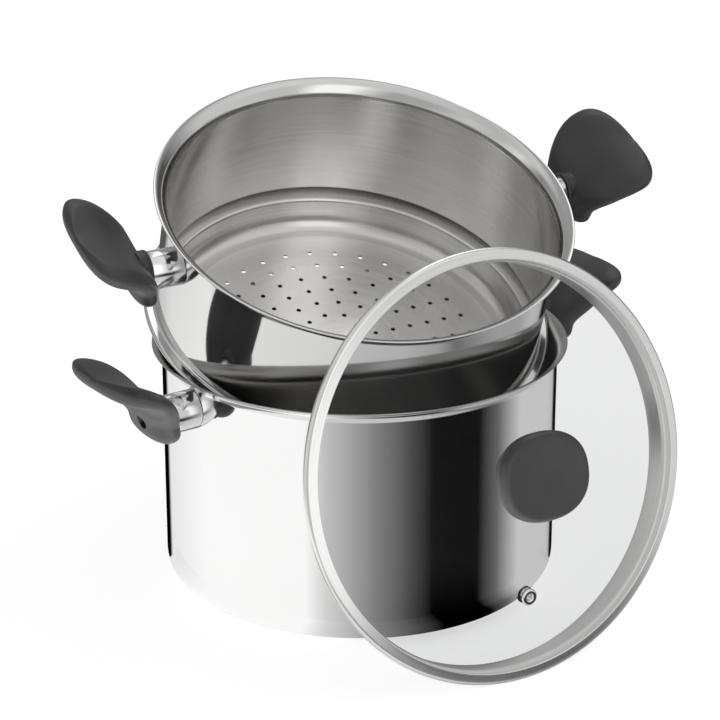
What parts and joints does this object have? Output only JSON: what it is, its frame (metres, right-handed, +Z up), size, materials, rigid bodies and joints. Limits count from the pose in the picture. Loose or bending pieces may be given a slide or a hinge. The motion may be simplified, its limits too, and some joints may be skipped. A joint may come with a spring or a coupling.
{
  "type": "couscoussier",
  "caption": "Polished steel stockpot with a perforated steamer basket tipped in its mouth and a domed glass lid standing beside it, with dark moulded side handles.",
  "frame": {"origin": "middle of the flat underside of the pot's base", "axes": "+Z up along the pot's axis; -Y towards the side where the lid stands, +X to the right seen from there"},
  "size_m": [0.3554, 0.3387, 0.2836],
  "materials": {
    "polished_steel": "mirror-polished stainless steel",
    "basket_steel": "stainless steel, brushed inside and polished outside",
    "sleeve_steel": "polished stainless steel",
    "band_steel": "rolled satin stainless steel",
    "fixing_steel": "plain steel fixings",
    "core_aluminium": "plain",
    "bakelite": "moulded heat-resistant resin, fine matte texture",
    "glass": "clear tempered glass",
    "gasket_rubber": "matte"
  },
  "bodies": {
    "pot": {"pot_body": "polished_steel", "pot_base_core": "core_aluminium", "pot_base_cap": "polished_steel", "pot_left_stud": "fixing_steel", "pot_left_sleeve": "sleeve_steel", "pot_left_grip": "bakelite", "pot_left_screw": "fixing_steel", "pot_right_stud": "fixing_steel", "pot_right_sleeve": "sleeve_steel", "pot_right_grip": "bakelite", "pot_right_screw": "fixing_steel"},
    "basket": {"basket_body": "basket_steel", "basket_left_stud": "fixing_steel", "basket_left_sleeve": "sleeve_steel", "basket_left_grip": "bakelite", "basket_left_screw": "fixing_steel", "basket_right_stud": "fixing_steel", "basket_right_sleeve": "sleeve_steel", "basket_right_grip": "bakelite", "basket_right_screw": "fixing_steel"},
    "lid": {"lid_glass": "glass", "lid_band": "band_steel", "lid_knob": "bakelite", "lid_knob_washer": "fixing_steel", "lid_knob_screw": "fixing_steel", "lid_vent_eyelet": "sleeve_steel", "lid_vent_gasket": "gasket_rubber"}
  },
  "joints": [
    {"name": "basket_lift", "type": "slide", "parent": "pot", "child": "basket", "axis": [-0.2393, 0.4078, 0.8812], "range_m": [0, 0.16]},
    {"name": "lid_lift", "type": "slide", "parent": "pot", "child": "lid", "axis": [0, 0, 1], "range_m": [0, 0.25]}
  ]
}
